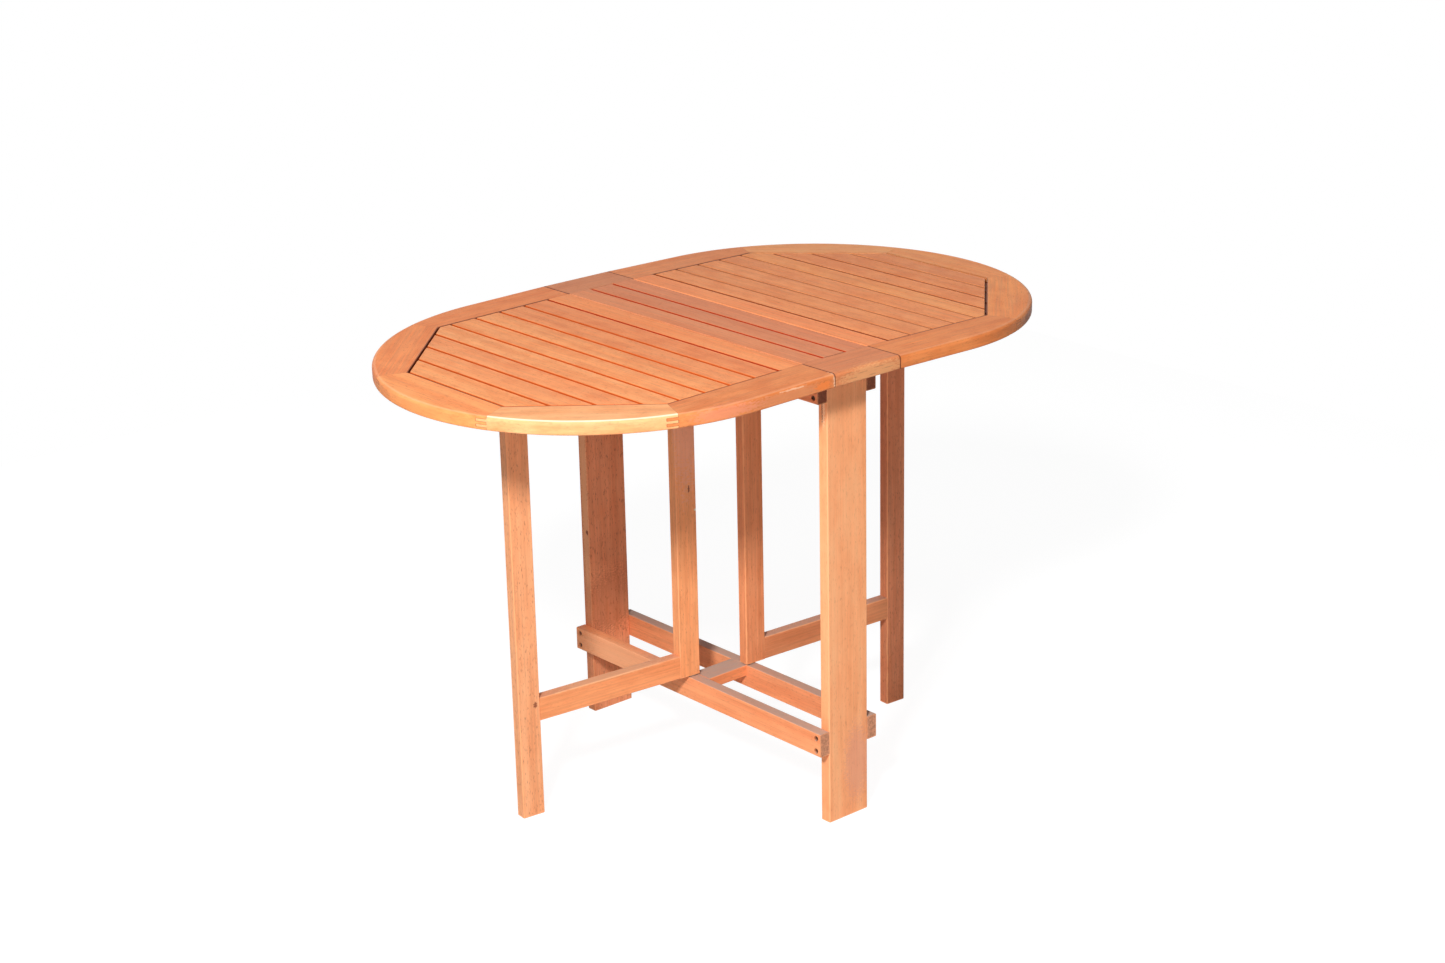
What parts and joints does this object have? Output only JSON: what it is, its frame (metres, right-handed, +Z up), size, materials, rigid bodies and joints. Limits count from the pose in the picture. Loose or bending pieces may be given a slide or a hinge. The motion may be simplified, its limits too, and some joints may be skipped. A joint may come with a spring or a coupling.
{
  "type": "gateleg table",
  "caption": "Oval slatted gateleg table: a narrow screwed trestle, a fixed centre section, hinged leaves and swinging gates that hold the leaves up.",
  "frame": {"origin": "on the floor, at the centre of the table's footprint", "axes": "+X along the long axis of the open top, towards the right leaf; +Y across the top, towards the rear leg; +Z up"},
  "size_m": [1.1204, 0.69, 0.74],
  "materials": {
    "slat_wood": "oiled",
    "rim_wood": "oiled",
    "centre_wood": "oiled",
    "leg_wood": "oiled",
    "gate_wood": "oiled",
    "rail_wood": "oiled",
    "steel": "satin"
  },
  "bodies": {
    "trestle": {"centre_front_end": "centre_wood", "centre_rear_end": "centre_wood", "centre_slat": "centre_wood", "centre_left_stile": "centre_wood", "centre_right_stile": "centre_wood", "left_lower_rail": "rail_wood", "left_upper_rail": "rail_wood", "right_lower_rail": "rail_wood", "right_upper_rail": "rail_wood", "front_leg": "leg_wood", "rear_leg": "leg_wood", "lower_cross_block": "rail_wood", "upper_cross_block": "rail_wood", "frame_screws": "steel", "gate_pivot_pins": "steel", "hinge_rail_plates": "steel", "hinge_pins": "steel", "hinge_rail_screws": "steel"},
    "left_leaf": {"left_leaf_front_side": "rim_wood", "left_leaf_front_corner": "rim_wood", "left_leaf_rear_side": "rim_wood", "left_leaf_rear_corner": "rim_wood", "left_leaf_outer_end": "rim_wood", "left_leaf_hinge_stile": "slat_wood", "left_leaf_slat_1": "slat_wood", "left_leaf_slat_2": "slat_wood", "left_leaf_slat_3": "slat_wood", "left_leaf_slat_4": "slat_wood", "left_leaf_slat_5": "slat_wood", "left_leaf_slat_6": "slat_wood", "left_leaf_slat_7": "slat_wood", "left_leaf_slat_8": "slat_wood", "left_gate_stop": "rail_wood", "left_leaf_hinge_plates": "steel", "left_leaf_screws": "steel"},
    "right_leaf": {"right_leaf_front_side": "rim_wood", "right_leaf_front_corner": "rim_wood", "right_leaf_rear_side": "rim_wood", "right_leaf_rear_corner": "rim_wood", "right_leaf_outer_end": "rim_wood", "right_leaf_hinge_stile": "slat_wood", "right_leaf_slat_1": "slat_wood", "right_leaf_slat_2": "slat_wood", "right_leaf_slat_3": "slat_wood", "right_leaf_slat_4": "slat_wood", "right_leaf_slat_5": "slat_wood", "right_leaf_slat_6": "slat_wood", "right_leaf_slat_7": "slat_wood", "right_leaf_slat_8": "slat_wood", "right_gate_stop": "rail_wood", "right_leaf_hinge_plates": "steel", "right_leaf_screws": "steel"},
    "left_gate": {"left_gate_stile": "gate_wood", "left_gate_leg": "gate_wood", "left_gate_lower_rail": "gate_wood", "left_gate_upper_rail": "gate_wood"},
    "right_gate": {"right_gate_stile": "gate_wood", "right_gate_leg": "gate_wood", "right_gate_lower_rail": "gate_wood", "right_gate_upper_rail": "gate_wood"}
  },
  "joints": [
    {"name": "left_gate_swing", "type": "hinge", "parent": "trestle", "child": "left_gate", "pos_m": [-0.0495, 0.0145, 0.4], "axis": [0, 0, -1], "range_deg": [0, 84.2]},
    {"name": "right_gate_swing", "type": "hinge", "parent": "trestle", "child": "right_gate", "pos_m": [0.0495, -0.0145, 0.4], "axis": [0, 0, -1], "range_deg": [0, 86.6]},
    {"name": "left_leaf_hinge", "type": "hinge", "parent": "trestle", "child": "left_leaf", "pos_m": [-0.062, 0, 0.716], "axis": [0, 1, 0], "range_deg": [0, 4]},
    {"name": "right_leaf_hinge", "type": "hinge", "parent": "trestle", "child": "right_leaf", "pos_m": [0.062, 0, 0.716], "axis": [0, -1, 0], "range_deg": [0, 4]}
  ]
}
